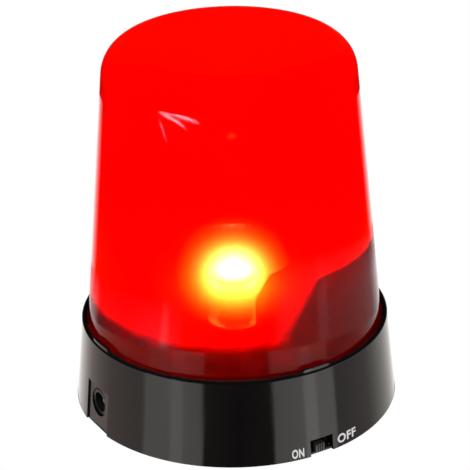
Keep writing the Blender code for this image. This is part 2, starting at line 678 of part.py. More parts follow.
def dome_top(offset):
    """Points of the rounded shoulder and the low crown, from the side up to the axis."""
    lean = math.atan(DOME_TAPER)
    crown_rise = math.tan(CROWN_ANGLE / 2)
    fillet = DOME_FILLET - offset
    centre_r = DOME_FOOT_RADIUS - DOME_FILLET
    centre_z = DOME_TOP
    for _ in range(20):
        shoulder_r = centre_r + DOME_FILLET * math.sin(CROWN_ANGLE)
        centre_z = DOME_TOP - shoulder_r * crown_rise - DOME_FILLET * math.cos(CROWN_ANGLE)
        start_z = centre_z + DOME_FILLET * math.sin(lean)
        centre_r = dome_side_radius(start_z, 0) - DOME_FILLET * math.cos(lean)
    points = []
    steps = 5
    for k in range(steps + 1):
        angle = lean + (math.pi / 2 - CROWN_ANGLE - lean) * k / steps
        points.append((centre_r + fillet * math.cos(angle), centre_z + fillet * math.sin(angle)))
    shoulder_r = centre_r + DOME_FILLET * math.sin(CROWN_ANGLE)
    crown_radius = shoulder_r / math.sin(CROWN_ANGLE)
    for k in (0.66, 0.33):
        angle = CROWN_ANGLE * k
        height = DOME_TOP - crown_radius + (crown_radius - offset) * math.cos(angle)
        points.append(((crown_radius - offset) * math.sin(angle), height))
    points.append((0, DOME_TOP - offset))
    return points


def dome_lens(material):
    inner_skirt = SKIRT_RADIUS - DOME_WALL
    outline = [(inner_skirt, DOME_BOTTOM), (SKIRT_RADIUS, DOME_BOTTOM), (SKIRT_RADIUS, FLANGE_BOTTOM),
               (FLANGE_RADIUS, FLANGE_BOTTOM), (FLANGE_RADIUS, SHELL_TOP - 0.3),
               (FLANGE_RADIUS - 0.2, SHELL_TOP), (dome_side_radius(SIDE_START, 0), SIDE_START)]
    outline += dome_top(0)
    outline += list(reversed(dome_top(DOME_WALL)))
    outline.append((dome_side_radius(SIDE_START, DOME_WALL), SIDE_START))
    dome = add_object("dome_lens", turned(outline, 60), material)
    for angle in QUARTERS:
        join(dome, arc_wall(SKIRT_RADIUS - 0.6, LUG_OUTER_RADIUS, angle - LUG_HALF_ANGLE,
                            angle + LUG_HALF_ANGLE, DOME_BOTTOM + 0.05, LUG_TOP))


def wires(red, black):
    """Light source, motor, battery, socket and switch leads, each laid through its own points."""
    wire("led_wire_red", ((0.9, 0, 37.8), (0.9, 0, 24), (0.9, -0.2, 20), (1.3, -1.2, 17.95),
                          (3, -3, 17.9), (7, -7.5, 17.9), (11, -11.4, 17.85), (13.6, -13.2, 17.8),
                          (15.6, -14.4, 16), (17, -16.2, 11), (17.2, -17.5, 6.9)), red)
    wire("led_wire_black", ((-0.9, 0, 37.8), (-0.9, 0, 24), (-0.9, -0.2, 20), (-0.6, -1.4, 17.95),
                            (1, -4, 17.9), (4.5, -8.5, 17.9), (8, -11.9, 17.85), (10.5, -13.4, 17.8),
                            (13.2, -15.6, 16), (15.2, -18.4, 11), (15.8, -19.5, 6.9)), black)
    wire("motor_wire_red", ((10.8, -24, 4.3), (12.6, -23.6, 4.4), (13.5, -24, 6.5), (15.4, -24.4, 7)),
         red)
    wire("motor_wire_black", ((10.8, -28, 4.3), (12.6, -28, 4.4), (13.5, -27.6, 6.5), (15.4, -27, 7)),
         black)
    wire("battery_wire_red", ((25.25, -7.5, 16.9), (25.3, -8.4, 17.6), (25.4, -10, 17.85),
                              (25.6, -12.2, 17.85), (25.4, -14.2, 17), (25, -15.4, 13),
                              (24.6, -16.5, 7)), red)
    wire("battery_wire_black", ((-26.5, -4.5, 15.8), (-26.4, -6.5, 17.3), (-26.2, -9.5, 17.85),
                                (-25.8, -12.2, 17.85), (-24.5, -14.6, 16.6), (-21, -18, 13.5),
                                (-15.5, -32, 7.5), (-6, -40, 5.6)), black)
    wire("socket_wire_red", ((-33.5, -1.5, 9), (-32.1, -8, 9.4), (-30.5, -16, 9.8),
                             (-22, -22, 8), (-14.8, -35, 5.5), (-6, -40, 4.2)), red)
    wire("switch_wire_red", ((5.5, -40.4, 4.6), (9, -38.6, 6.5), (14, -35.4, 8.2), (15.8, -34, 7)),
         red)


def main():
    clear_scene()
    black_gloss = make_material("black_gloss", (0.012, 0.011, 0.011), 0.12)
    black_satin = make_material("black_satin", (0.02, 0.02, 0.02), 0.45)
    red_lens = make_material("red_lens", (0.85, 0.01, 0.015), 0.08, alpha=0.6)
    rubber = make_material("foot_rubber", (0.03, 0.03, 0.03), 0.85)
    steel = make_material("zinc_steel", (0.62, 0.62, 0.6), 0.3, 1.0)
    spring_steel = make_material("contact_nickel", (0.7, 0.68, 0.62), 0.25, 1.0)
    mirror = make_material("mirror_chrome", (0.85, 0.85, 0.87), 0.08, 1.0)
    white = make_material("white_gear", (0.8, 0.8, 0.78), 0.4)
    green = make_material("board_green", (0.02, 0.2, 0.06), 0.4)
    wrap = make_material("battery_wrap", (0.08, 0.09, 0.12), 0.35)
    glow = make_material("led_glow", (1.0, 0.86, 0.6), 0.3, emission=20.0)
    wire_red = make_material("wire_red", (0.5, 0.02, 0.02), 0.5)
    wire_black = make_material("wire_black", (0.02, 0.02, 0.02), 0.5)

    base_housing(black_gloss)
    base_cover(black_satin)
    battery_door(black_satin)
    batteries(wrap, spring_steel)
    socket(black_satin, steel)
    slide_switch(black_satin, black_satin)
    deck(black_satin)
    led(white, glow)
    drive(white, steel, steel, black_satin)
    reflector(mirror, steel)
    circuit(green, black_satin, wrap)
    dome_lens(red_lens)
    for number, (x, y) in enumerate(COLUMNS, 1):
        screw(f"cover_screw_{number}", x, y, 0.9, 1.7, COVER_SCREW_TIP, 2.6, steel)
        screw(f"deck_screw_{number}", x, y, DECK_TOP + GAP, 21.7, DECK_SCREW_TIP, 2.5, steel)
    for number, (x, y) in enumerate(FEET, 1):
        pad = moved(cylinder(FOOT_RADIUS, 0, FOOT_THICKNESS, 24), (x, y, 0))
        add_object(f"foot_{number}", pad, rubber, (x, y, 0))
    wires(wire_red, wire_black)


main()
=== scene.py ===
"""Looks of the rotating warning light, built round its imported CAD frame.

Lengths are millimetres and angles degrees, apart from those that a line turns into metres or radians
and those of the soft lights. Heights are above the ground, and azimuths run from +X towards +Y.
"""
import json
import math

import bmesh
import bpy
from mathutils import Matrix, Vector


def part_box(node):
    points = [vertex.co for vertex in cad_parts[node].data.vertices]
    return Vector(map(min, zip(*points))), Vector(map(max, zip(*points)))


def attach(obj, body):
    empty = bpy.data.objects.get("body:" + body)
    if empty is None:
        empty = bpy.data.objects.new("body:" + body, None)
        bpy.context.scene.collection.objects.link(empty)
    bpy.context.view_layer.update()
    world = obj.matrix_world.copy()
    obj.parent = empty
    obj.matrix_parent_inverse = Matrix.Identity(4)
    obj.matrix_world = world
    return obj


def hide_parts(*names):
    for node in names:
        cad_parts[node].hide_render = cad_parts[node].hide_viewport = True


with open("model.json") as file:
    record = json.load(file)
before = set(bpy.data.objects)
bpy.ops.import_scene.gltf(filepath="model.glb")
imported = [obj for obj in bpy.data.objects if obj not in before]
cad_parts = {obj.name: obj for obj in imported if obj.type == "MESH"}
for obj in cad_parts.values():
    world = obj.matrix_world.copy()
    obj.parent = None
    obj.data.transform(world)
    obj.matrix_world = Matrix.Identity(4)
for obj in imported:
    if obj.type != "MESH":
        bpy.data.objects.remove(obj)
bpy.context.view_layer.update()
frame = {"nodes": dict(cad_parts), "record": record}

MM = 0.001

# Camera
VIEW_AZIMUTH = -30.3
VIEW_ELEVATION = 25.5
VIEW_ROLL = -1.27
VIEW_DISTANCE = 610 * MM
VIEW_LENS = 153.2
VIEW_SENSOR = 36
AIM_HEIGHT = 52.1 * MM
AIM_RIGHT = 0.66 * MM

# Sizes read from the frame
DOME_LOW, DOME_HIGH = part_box("dome_lens")
SHELL_LOW, SHELL_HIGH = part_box("base_housing")
KNOB_LOW, KNOB_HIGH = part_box("switch_knob")
DOME_TOP = DOME_HIGH.z / MM
DOME_BOTTOM = DOME_LOW.z / MM
SHELL_BOTTOM = SHELL_LOW.z / MM
SHELL_RADIUS = SHELL_HIGH.y / MM
TAB_HEIGHT = 0.7
TAB_TOP = SHELL_HIGH.z / MM
RIM_TOP = TAB_TOP - TAB_HEIGHT
KNOB_LEFT, KNOB_RIGHT = KNOB_LOW.x / MM, KNOB_HIGH.x / MM
KNOB_FRONT = KNOB_LOW.y / MM

# Edges sharper than this keep their crease
CREASE_ANGLE = math.radians(40)
SHELL_CREASE_ANGLE = math.radians(30)

# The scales of the moulding grain and of the patches of wear, in the shaders' own units
GRAIN_SCALE = 1500.0
WEAR_SCALE = 90.0

# Dome
DOME_WALL = 1.8
DOME_FOOT_RADIUS = 45.2
DOME_FOOT_RISE = 1.0
DOME_TAPER = 0.0946
DOME_LEAN = math.atan(DOME_TAPER)
DOME_FILLET = 10.0
CROWN_ANGLE = math.radians(11.5)
CROWN_STEPS = 8
SHOULDER_STEPS = 14
SHOULDER_ROUNDS = 20
SKIRT_RADIUS = 44.6
FLANGE_RADIUS = 45.68
FLANGE_FILLET = 0.35
FLANGE_SLOPE = 0.05
FLANGE_BOTTOM = 26.2
FLANGE_EDGE = 26.4
DOME_SEGMENTS = 192
# A straight wall has outline points this near its ends, so that fillets don't bend its normals
DOME_GUARD = 0.3
SHELL_GUARDS = (0.01, 0.99)

# Base shell, with its rim tabs, switch notch, socket panel and socket hole
RIM_RADIUS = 47.3
RIM_INNER_RADIUS = 46.0
RIM_FILLET = 0.9
RIM_FILLET_STEPS = 8
RIM_BEVEL = 0.15
INNER_WALL_FOOT = 20.0
SHELL_WALL = 2.2
SHELL_SEGMENTS = 256
TAB_HALF_ANGLE = 5.7
TAB_INNER_GAP = 0.1
TAB_OUTER_GAP = 0.35
TAB_ROOT = 1.0
TAB_BEVEL = 0.2
TAB_AZIMUTHS = (0, 90, 180, 270)
NOTCH_HALF_WIDTH = 3.9
NOTCH_BOTTOM, NOTCH_TOP = -1, 5.5
NOTCH_FRONT, NOTCH_BACK = -52, -44
PANEL_DEPTH = 0.95
PANEL_HALF_WIDTH = 6.5
PANEL_TOP = 14.0
PANEL_CUT_X = -55
SOCKET_HEIGHT = 8.5
SOCKET_HOLE_RADIUS = 4.4
SOCKET_HOLE_REACH = 4
SOCKET_HOLE_X = -47.6
SOCKET_HOLE_SEGMENTS = 64

# Switch knob: its cap, the stem behind the cap and the grip grooves
KNOB_BOTTOM, KNOB_TOP = 1.7, 4.7
KNOB_BACK = -46.7
KNOB_BEVEL = 0.3
STEM_BOTTOM, STEM_TOP = 2.7, 3.9
STEM_FRONT, STEM_BACK = -47.5, -44.6
STEM_INSET = 0.6
GROOVE_OFFSETS = (-0.7, 0.0, 0.7)
GROOVE_HALF_WIDTH = 0.12
GROOVE_DEPTH = 0.25
GROOVE_INSET = 0.2
GROOVE_START = 1

# Each mark: its text, how far round from the switch, its width, its middle's height, its height
MARKS = (("ON", -8.1, 3.9, 2.45, 2.9), ("OFF", 9.5, 7.5, 2.9, 2.9))
MARK_SPACING = 1.1
MARK_BOLDNESS = 0.03
MARK_LIFT = 0.03

# The light of the LED, as points on a small ring just above its board
LAMP_COLOR = (1.0, 0.82, 0.5)
LAMP_POWER = 0.22
LAMP_POINTS = 8
LAMP_SPREAD = 1.9
LAMP_RADIUS = 0.3
LAMP_HEIGHT = 39.62

# The bloom: a wide yellow glow and a white core, each as colour, width and brightness through the middle
HALO_RADIUS = 18.0
HALO_HEIGHT = 39.5
HALO_FLATNESS = 0.85
HALO_STEP_RATE = 0.4
HALO_GLOWS = (((1.0, 0.85, 0.02), 6.2, 4500.0), ((1.0, 0.95, 1.0), 4.5, 4200.0))

# Each streak of the glint: its two ends as azimuth and height on the dome, its bow and its half width
GLINT_COLOR = (1.0, 0.75, 0.95)
GLINT_DISTANCE = 600.0
GLINT_STRENGTH = 60.0
GLINT_STEPS = 10
GLINT_HALF_END = 0.02
GLINT_TIP = (207.5, 106.0)
GLINT_STREAKS = ((GLINT_TIP, (221.0, 105.6), 1.1, 0.35), (GLINT_TIP, (227.5, 104.0), 1.0, 0.4),
                 (GLINT_TIP, (222.5, 102.0), 0.5, 0.3), (GLINT_TIP, (212.0, 98.0), -0.4, 0.15),
                 ((211.0, 29.6), (214.5, 29.3), 0.2, 0.4), ((215.5, 29.2), (220.5, 28.8), 0.1, 0.35))

# Floor and soft lights. Each light: name, azimuth from the camera's, elevation, distance and side in
# metres, power in watts
FLOOR_RADIUS = 4000
FLOOR_SEGMENTS = 64
CARD_HEIGHT = -0.5
CARD_GAP = 0.5
CARD_STEP = 3
FLOOR_UNDER_CARDS = 0.2
LIGHTS_AIM = Vector((0, 0, 0.05))
SOFT_BOXES = (("key_left", -50, 55, 0.9, 0.35, 3.0), ("key_right", 50, 55, 0.9, 0.35, 3.0),
              ("under", 160, -50, 0.6, 0.5, 4.0))

# What the gloss walls mirror, by angle rightwards from the camera: how bright, and in what tint
BASE_BOUNCE = ((-89, (1.5, 1.46, 1.42)), (-74, (1.35, 1.25, 1.2)), (-66, (0.85, 0.72, 0.66)),
               (-52, (0.66, 0.53, 0.49)), (-36, (0.7, 0.6, 0.56)), (-34, (1.35, 1.27, 1.2)),
               (-25, (1.4, 1.32, 1.26)), (-23.5, (1.9, 1.82, 1.74)), (-20, (1.9, 1.82, 1.74)),
               (-19, (1.45, 1.37, 1.3)), (-13, (1.35, 1.27, 1.2)), (-11.5, (0.13, 0.11, 0.1)),
               (0, (0.06, 0.05, 0.05)), (12, (0.11, 0.1, 0.09)), (13.5, (1.3, 1.24, 1.18)),
               (24, (1.5, 1.44, 1.4)), (25, (2.3, 2.2, 2.15)), (29, (2.3, 2.2, 2.15)),
               (30, (1.6, 1.54, 1.5)), (36.5, (1.5, 1.4, 1.34)), (38, (0.52, 0.47, 0.44)),
               (54, (0.5, 0.45, 0.42)), (62, (0.8, 0.76, 0.72)), (75, (1.2, 1.15, 1.1)),
               (89, (1.5, 1.46, 1.42)))
DOME_BOUNCE_RIGHT = ((14, (0.0, 0.0, 0.0)), (20, (0.6, 0.6, 0.6)), (34, (0.8, 0.8, 0.8)),
                     (35, (1.6, 1.6, 1.6)), (39, (1.6, 1.6, 1.6)), (40, (0.9, 0.9, 0.9)),
                     (70, (0.5, 0.5, 0.5)), (78, (1.1, 1.1, 1.1)), (89, (1.2, 1.2, 1.2)))
DOME_BOUNCE_LEFT = ((-89, (1.2, 1.2, 1.2)), (-74, (0.9, 0.9, 0.9)), (-68, (0.1, 0.1, 0.1)),
                    (-46, (0.3, 0.2, 0.3)), (-32, (1.2, 0.8, 1.2)), (-29, (4.0, 3.4, 4.0)),
                    (-26, (1.0, 0.7, 1.0)), (-20, (0.0, 0.0, 0.0)))
EDGE_BOUNCE_RIGHT = ((74, (0.0, 0.0, 0.0)), (80, (0.9, 0.9, 0.9)), (89, (1.2, 1.2, 1.2)))
EDGE_BOUNCE_LEFT = ((-89, (1.2, 1.2, 1.2)), (-80, (0.9, 0.9, 0.9)), (-74, (0.0, 0.0, 0.0)))
# Each card: its name, its stops, the heights on the wall that it shows between, its far edge's share
BOUNCE_CARDS = (("bounce_base", BASE_BOUNCE, 0, RIM_TOP, 1.0),
                ("bounce_dome_right", DOME_BOUNCE_RIGHT, RIM_TOP, 42, 1.0),
                ("bounce_dome_right_fading", DOME_BOUNCE_RIGHT, 42, 58, 0.0),
                ("bounce_dome_left", DOME_BOUNCE_LEFT, RIM_TOP, 44, 0.0),
                ("bounce_edge_right", EDGE_BOUNCE_RIGHT, 50, 122, 1.0),
                ("bounce_edge_left", EDGE_BOUNCE_LEFT, 36, 122, 1.0))


# ---------------------------------------------------------------- shapes

def polar(radius, degrees, height=0.0):
    """The point at this distance from the Z axis, azimuth and height."""
    angle = math.radians(degrees)
    return (radius * math.cos(angle), radius * math.sin(angle), height)


def turned(outline, segments, shape=None, slots=None):
    """Turn a closed outline of (radius, height) points round Z; slots gives each strip a material."""
    shape = shape or bmesh.new()
    rings = []
    for radius, height in outline:
        if radius == 0:
            rings.append([shape.verts.new((0, 0, height))])
        else:
            step = 360 / segments
            rings.append([shape.verts.new(polar(radius, k * step, height)) for k in range(segments)])
    for number, (ring, above) in enumerate(zip(rings, rings[1:] + rings[:1])):
        for k in range(segments):
            corners = [ring[k % len(ring)], ring[(k + 1) % len(ring)]]
            corners += [above[(k + 1) % len(above)], above[k % len(above)]]
            corners = list(dict.fromkeys(corners))
            if len(corners) > 2:
                face = shape.faces.new(corners)
                face.material_index = slots[number] if slots else 0
    return shape


def extruded(outline, bottom, top):
    """A closed prism on an outline of (x, y) points."""
    shape = bmesh.new()
    low = [shape.verts.new((x, y, bottom)) for x, y in outline]
    high = [shape.verts.new((x, y, top)) for x, y in outline]
    shape.faces.new(low)
    shape.faces.new(high)
    for k in range(len(outline)):
        after = (k + 1) % len(outline)
        shape.faces.new((low[k], low[after], high[after], high[k]))
    return shape


def box(low, high):
    """A box between two opposite corners."""
    outline = [(low[0], low[1]), (high[0], low[1]), (high[0], high[1]), (low[0], high[1])]
    return extruded(outline, low[2], high[2])


def arc_wall(inner, outer, start, end, bottom, top, steps=12):
    """A stretch of a round wall between two radii and two azimuths."""
    angles = [start + (end - start) * k / steps for k in range(steps + 1)]
    outline = [polar(inner, angle)[:2] for angle in angles]
    outline += [polar(outer, angle)[:2] for angle in reversed(angles)]
    return extruded(outline, bottom, top)


def bevelled(shape, width, segments=2):
    """The same shape with every edge rounded off."""
    bmesh.ops.bevel(shape, geom=list(shape.edges), offset=width, segments=segments, profile=0.5,
                    affect="EDGES")
    return shape


def rounded(points, radius, steps=4):
    """Round the corners of an open run of (radius, height) points."""
    out = [points[0]]
    for a, b, c in zip(points, points[1:], points[2:]):
        before = Vector(b) - Vector(a)
        after = Vector(c) - Vector(b)
        reach = min(radius, before.length * 0.45, after.length * 0.45)
        start = Vector(b) - before.normalized() * reach
        end = Vector(b) + after.normalized() * reach
        for k in range(steps + 1):
            t = k / steps
            place = start * (1 - t) ** 2 + Vector(b) * 2 * t * (1 - t) + end * t * t
            out.append(tuple(place))
    out.append(points[-1])
    return out


def metre_mesh(name, shape):
    """Turn a shape in millimetres into a mesh in metres that faces out."""
    bmesh.ops.scale(shape, verts=shape.verts, vec=(MM, MM, MM))
    bmesh.ops.recalc_face_normals(shape, faces=shape.faces)
    mesh = bpy.data.meshes.new(name)
    shape.to_mesh(mesh)
    shape.free()
    return mesh


def piece(name, shape, body, materials):
    """Make a piece from a shape, and let it ride on a body if one is named."""
    mesh = metre_mesh(name, shape)
    mesh.shade_smooth()
    mesh.set_sharp_from_angle(angle=CREASE_ANGLE)
    for material in materials:
        mesh.materials.append(material)
    item = bpy.data.objects.new(name, mesh)
    bpy.context.scene.collection.objects.link(item)
    if body:
        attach(item, body)
    return item


def apply_tool(item, shape, operation):
    """Cut a shape away from an item, or join it, and keep the result as the item's mesh."""
    tool = bpy.data.objects.new("tool", metre_mesh("tool", shape))
    bpy.context.scene.collection.objects.link(tool)
    modifier = item.modifiers.new("tool", "BOOLEAN")
    modifier.operation = operation
    modifier.object = tool
    graph = bpy.context.evaluated_depsgraph_get()
    result = bpy.data.meshes.new_from_object(item.evaluated_get(graph), depsgraph=graph)
    item.modifiers.clear()
    item.data = result
    bpy.data.objects.remove(tool)


# ------------------------------------------------------------- materials

def new_material(name):
    """A material with its nodes and links at hand."""
    material = bpy.data.materials.new(name)
    material.use_nodes = True
    nodes = material.node_tree.nodes
    return material, nodes, material.node_tree.links


def surface_detail(nodes, links, shader, depth, low_rough, high_rough):
    """Fine moulding grain as bump, and soft patches of handling wear in the roughness."""
    place = nodes.new("ShaderNodeTexCoord")
    fine = nodes.new("ShaderNodeTexNoise")
    fine.inputs["Scale"].default_value = GRAIN_SCALE
    fine.inputs["Detail"].default_value = 4.0
    links.new(place.outputs["Object"], fine.inputs["Vector"])
    bump = nodes.new("ShaderNodeBump")
    bump.inputs["Strength"].default_value = depth
    bump.inputs["Distance"].default_value = 0.0002
    links.new(fine.outputs["Fac"], bump.inputs["Height"])
    links.new(bump.outputs["Normal"], shader.inputs["Normal"])
    patches = nodes.new("ShaderNodeTexNoise")
    patches.inputs["Scale"].default_value = WEAR_SCALE
    patches.inputs["Detail"].default_value = 5.0
    links.new(place.outputs["Object"], patches.inputs["Vector"])
    spread = nodes.new("ShaderNodeMapRange")
    spread.inputs["From Min"].default_value = 0.35
    spread.inputs["From Max"].default_value = 0.7
    spread.inputs["To Min"].default_value = low_rough
    spread.inputs["To Max"].default_value = high_rough
    links.new(patches.outputs["Fac"], spread.inputs["Value"])
    links.new(spread.outputs["Result"], shader.inputs["Roughness"])
    return patches


def coloured(nodes, links, shader, patches, dark, light):
    """Let the base colour drift between two close tones."""
    blend = nodes.new("ShaderNodeMix")
    blend.data_type = "RGBA"
    blend.inputs["A"].default_value = (*dark, 1)
    blend.inputs["B"].default_value = (*light, 1)
    links.new(patches.outputs["Fac"], blend.inputs["Factor"])
    links.new(blend.outputs["Result"], shader.inputs["Base Color"])


def plastic(name, dark, light, low_rough, high_rough, depth=0.05, metallic=0.0):
    """An opaque moulded, painted or metal surface."""
    material, nodes, links = new_material(name)
    shader = nodes["Principled BSDF"]
    shader.inputs["Metallic"].default_value = metallic
    patches = surface_detail(nodes, links, shader, depth, low_rough, high_rough)
    coloured(nodes, links, shader, patches, dark, light)
    return material


def lens_outer():
    """Translucent red plastic: some light passes straight, some is spread, the surface is glossy."""
    material, nodes, links = new_material("lens_outer")
    nodes.remove(nodes["Principled BSDF"])
    out = nodes["Material Output"]
    clear = nodes.new("ShaderNodeBsdfTransparent")
    clear.inputs["Color"].default_value = (0.5, 0.003, 0.0016, 1)
    cloudy = nodes.new("ShaderNodeBsdfTranslucent")
    cloudy.inputs["Color"].default_value = (1.0, 0.0, 0.0, 1)
    body = nodes.new("ShaderNodeMixShader")
    body.inputs["Fac"].default_value = 0.5
    links.new(clear.outputs[0], body.inputs[1])
    links.new(cloudy.outputs[0], body.inputs[2])
    haze = nodes.new("ShaderNodeBsdfRefraction")
    haze.inputs["Color"].default_value = (1.0, 0.026, 0.0008, 1)
    haze.inputs["Roughness"].default_value = 0.66
    haze.inputs["IOR"].default_value = 1.3
    hazed = nodes.new("ShaderNodeMixShader")
    hazed.inputs["Fac"].default_value = 0.3
    links.new(body.outputs[0], hazed.inputs[1])
    links.new(haze.outputs[0], hazed.inputs[2])
    gloss = nodes.new("ShaderNodeBsdfGlossy")
    gloss.inputs["Color"].default_value = (1, 0.95, 0.95, 1)
    gloss.inputs["Roughness"].default_value = 0.02
    fresnel = nodes.new("ShaderNodeFresnel")
    fresnel.inputs["IOR"].default_value = 1.22
    skin = nodes.new("ShaderNodeMixShader")
    links.new(fresnel.outputs[0], skin.inputs["Fac"])
    links.new(hazed.outputs[0], skin.inputs[1])
    links.new(gloss.outputs[0], skin.inputs[2])
    links.new(skin.outputs[0], out.inputs["Surface"])
    place = nodes.new("ShaderNodeTexCoord")
    ripple = nodes.new("ShaderNodeTexNoise")
    ripple.inputs["Scale"].default_value = 60.0
    links.new(place.outputs["Object"], ripple.inputs["Vector"])
    bump = nodes.new("ShaderNodeBump")
    bump.inputs["Strength"].default_value = 0.004
    bump.inputs["Distance"].default_value = 0.0003
    links.new(ripple.outputs["Fac"], bump.inputs["Height"])
    links.new(bump.outputs["Normal"], gloss.inputs["Normal"])
    return material


def lens_inner():
    """The dome's inner face, which only lets the light on into the wall."""
    material, nodes, links = new_material("lens_inner")
    nodes.remove(nodes["Principled BSDF"])
    clear = nodes.new("ShaderNodeBsdfTransparent")
    clear.inputs["Color"].default_value = (1.0, 0.75, 0.7, 1)
    links.new(clear.outputs[0], nodes["Material Output"].inputs["Surface"])
    return material


def glowing(name, color, strength):
    """A surface that gives off light of its own colour."""
    material, nodes, links = new_material(name)
    shader = nodes["Principled BSDF"]
    shader.inputs["Base Color"].default_value = (*color, 1)
    shader.inputs["Emission Color"].default_value = (*color, 1)
    shader.inputs["Emission Strength"].default_value = strength
    return material


MATERIALS = {
    "black_gloss": plastic("shell_gloss", (0.006, 0.005, 0.005), (0.012, 0.011, 0.011), 0.07, 0.13),
    "black_satin": plastic("satin_black", (0.012, 0.012, 0.012), (0.022, 0.022, 0.022), 0.35, 0.5),
    "mirror_chrome": plastic("mirror", (0.8, 0.8, 0.82), (0.9, 0.9, 0.9), 0.1, 0.2, metallic=1.0),
    "white_plastic": plastic("white", (0.6, 0.6, 0.57), (0.7, 0.7, 0.68), 0.35, 0.5),
    "battery_wrap": plastic("cell_sleeve", (0.05, 0.06, 0.09), (0.08, 0.09, 0.13), 0.25, 0.4),
    "contact_nickel": plastic("nickel", (0.6, 0.58, 0.53), (0.75, 0.73, 0.68), 0.18, 0.35, metallic=1.0),
    "foot_rubber": plastic("rubber", (0.02, 0.02, 0.02), (0.04, 0.04, 0.04), 0.75, 0.9, depth=0.3),
    "board_green": plastic("solder_mask", (0.01, 0.14, 0.04), (0.02, 0.2, 0.06), 0.3, 0.45),
    "wire_red": plastic("wire_red", (0.4, 0.01, 0.01), (0.55, 0.02, 0.02), 0.4, 0.55),
    "wire_black": plastic("wire_black", (0.015, 0.015, 0.015), (0.025, 0.025, 0.025), 0.4, 0.55),
    "zinc_steel": plastic("zinc", (0.5, 0.5, 0.48), (0.68, 0.68, 0.66), 0.22, 0.4, metallic=1.0),
    "led_glow": glowing("led_light", (1.0, 0.8, 0.45), 2500.0),
}
# White print for the letters with a painted glow: it gives off a little light of its own, so the letters
# look brighter than their lighting makes them
PRINT_WHITE_PAINTED_GLOW = glowing("print_white_painted_glow", (0.9, 0.9, 0.9), 0.5)


# ---------------------------------------------------------------- pieces

def dress_frame():
    """Every CAD node that stays gets the detailed material of its slot."""
    slots = {row["node"]: row["material_slot"] for row in frame["record"]["subparts"]}
    for name, node in frame["nodes"].items():
        finish = MATERIALS.get(slots.get(name))
        if finish is None:
            continue
        node.data.materials.clear()
        node.data.materials.append(finish)


def dome_side_radius(height, offset):
    """The radius of the dome's side, or of the face that lies an offset inside it."""
    return DOME_FOOT_RADIUS - offset - DOME_TAPER * (height - RIM_TOP)


def dome_top(offset):
    """The outline of the shoulder and the crown, from the side up to the axis."""
    crown_rise = math.tan(CROWN_ANGLE / 2)
    fillet = DOME_FILLET - offset
    centre_r = DOME_FOOT_RADIUS - DOME_FILLET
    centre_z = DOME_TOP
    for _ in range(SHOULDER_ROUNDS):
        shoulder_r = centre_r + DOME_FILLET * math.sin(CROWN_ANGLE)
        centre_z = DOME_TOP - shoulder_r * crown_rise - DOME_FILLET * math.cos(CROWN_ANGLE)
        start_z = centre_z + DOME_FILLET * math.sin(DOME_LEAN)
        centre_r = dome_side_radius(start_z, 0) - DOME_FILLET * math.cos(DOME_LEAN)
    points = []
    for k in range(SHOULDER_STEPS + 1):
        angle = DOME_LEAN + (math.pi / 2 - CROWN_ANGLE - DOME_LEAN) * k / SHOULDER_STEPS
        points.append((centre_r + fillet * math.cos(angle), centre_z + fillet * math.sin(angle)))
    shoulder_r = centre_r + DOME_FILLET * math.sin(CROWN_ANGLE)
    crown_radius = shoulder_r / math.sin(CROWN_ANGLE)
    for k in range(1, CROWN_STEPS):
        angle = CROWN_ANGLE * (1 - k / CROWN_STEPS)
        height = DOME_TOP - crown_radius + (crown_radius - offset) * math.cos(angle)
        points.append(((crown_radius - offset) * math.sin(angle), height))
    points.append((0, DOME_TOP - offset))
    return points


def dome():
    """The lens with its skirt and foot flange, in place of the plain CAD one."""
    inner_skirt = SKIRT_RADIUS - DOME_WALL
    side_foot = RIM_TOP + DOME_FOOT_RISE
    foot = [(inner_skirt, DOME_BOTTOM), (SKIRT_RADIUS, DOME_BOTTOM), (SKIRT_RADIUS, FLANGE_BOTTOM),
            (FLANGE_RADIUS, FLANGE_BOTTOM)]
    flange = rounded([(FLANGE_RADIUS, FLANGE_EDGE), (FLANGE_RADIUS, RIM_TOP),
                      (dome_side_radius(RIM_TOP, 0), RIM_TOP + FLANGE_SLOPE),
                      (dome_side_radius(side_foot, 0), side_foot)], FLANGE_FILLET)
    shoulder = dome_top(0)
    side = [(dome_side_radius(height, 0), height)
            for height in (side_foot + DOME_GUARD, shoulder[0][1] - DOME_GUARD)]
    outer = foot + flange + side + shoulder
    inner = list(reversed(dome_top(DOME_WALL)))
    inner.append((dome_side_radius(side_foot, DOME_WALL), side_foot))
    slots = [0] * len(outer) + [1] * len(inner)
    shape = turned(outer + inner, DOME_SEGMENTS, slots=slots)
    item = piece("dome_shell", shape, "dome", [lens_outer(), lens_inner()])
    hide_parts("dome_lens")


def shell_radius(height):
    """The radius of the base's outer wall."""
    slope = (SHELL_RADIUS - RIM_RADIUS) / (RIM_TOP - SHELL_BOTTOM)
    return SHELL_RADIUS - slope * (height - SHELL_BOTTOM)


def socket_panel():
    """The flat recess round the socket, leaning with the wall it is cut from."""
    low_x = PANEL_DEPTH - shell_radius(0)
    high_x = PANEL_DEPTH - shell_radius(PANEL_TOP)
    slab = box((PANEL_CUT_X, -PANEL_HALF_WIDTH, 0), (low_x, PANEL_HALF_WIDTH, PANEL_TOP))
    for vert in slab.verts:
        if vert.co.z > 0 and vert.co.x > PANEL_CUT_X:
            vert.co.x = high_x
    return slab


